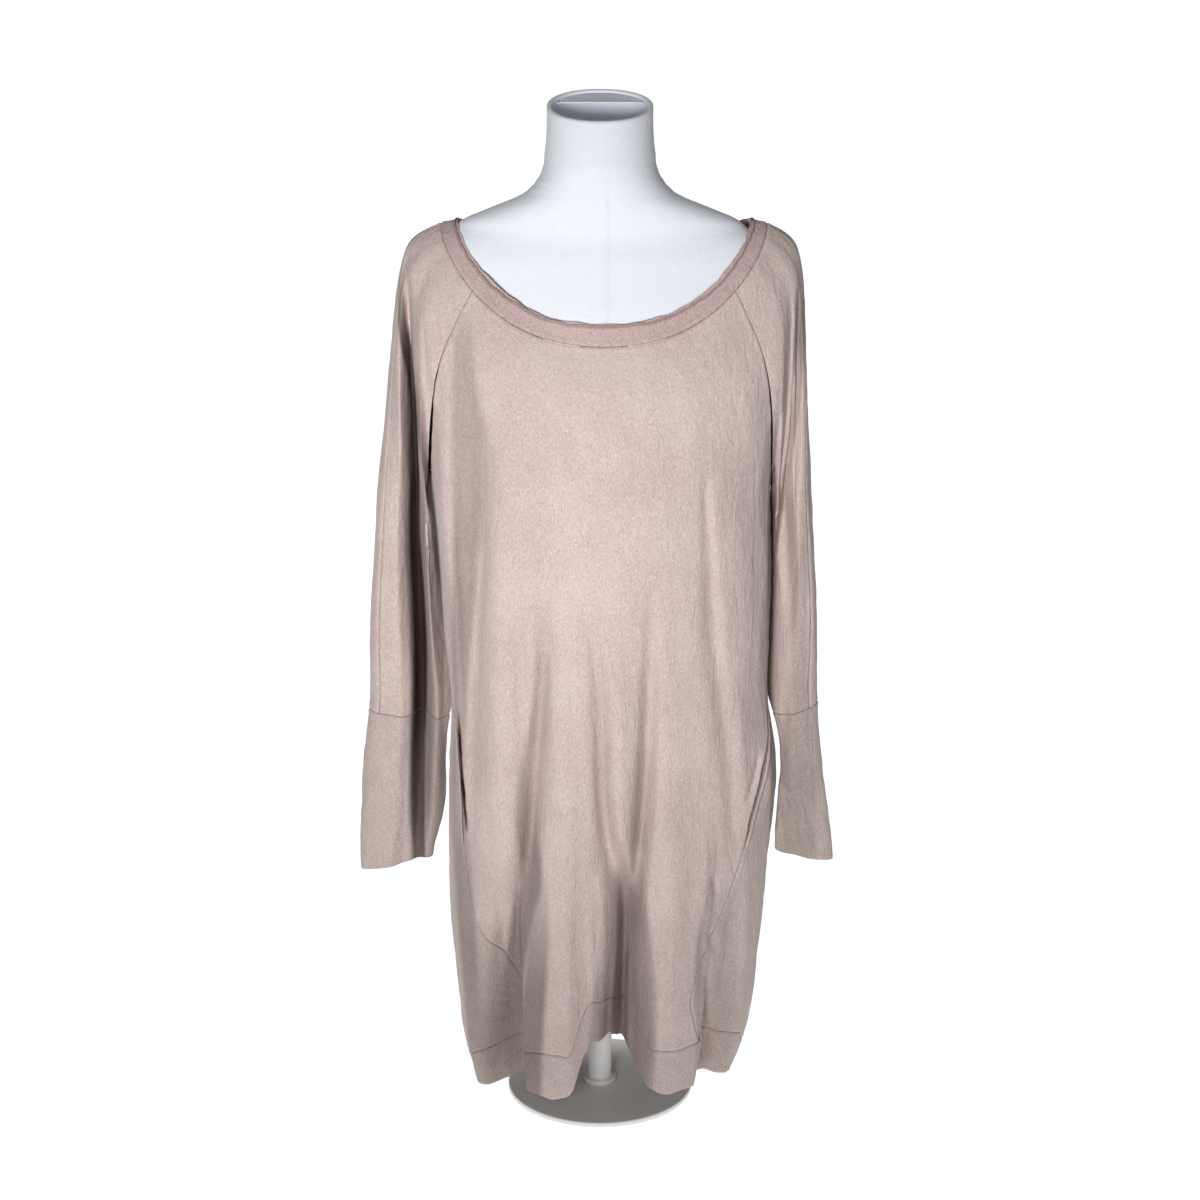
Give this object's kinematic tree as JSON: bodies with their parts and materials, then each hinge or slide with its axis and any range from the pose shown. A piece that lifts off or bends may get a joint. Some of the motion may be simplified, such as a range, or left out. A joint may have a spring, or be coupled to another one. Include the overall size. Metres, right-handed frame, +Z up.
{
  "type": "tunic top on a dress form",
  "caption": "Long-sleeved raglan cocoon tunic with a raw-edged scoop neck, curved side panels, pockets and banded hem, on a limbless dress form with a counter stand.",
  "frame": {"origin": "middle of the underside of the stand's base plate, on the surface it stands on", "axes": "+Z up along the stand's pole, the garment's front faces -Y, the wearer's left is at +X"},
  "size_m": [0.503, 0.2395, 1.0594],
  "materials": {
    "jersey": "crinkled cotton jersey, dusty rose taupe, matte",
    "form_cover": "smooth cool white cover with a fine weave, matte",
    "stand_paint": "white powder coat, satin"
  },
  "bodies": {
    "root": {"front_panel": "jersey", "back_panel": "jersey", "side_panel_right": "jersey", "side_panel_left": "jersey", "sleeve_front_right": "jersey", "sleeve_back_right": "jersey", "sleeve_front_left": "jersey", "sleeve_back_left": "jersey", "cuff_right": "jersey", "cuff_left": "jersey", "neck_band": "jersey", "hem_band": "jersey", "pocket_welt_right": "jersey", "pocket_welt_left": "jersey", "pocket_bag_right": "jersey", "pocket_bag_left": "jersey", "form_torso": "form_cover", "form_neck": "form_cover", "stand_pole": "stand_paint", "stand_base": "stand_paint"}
  },
  "joints": []
}
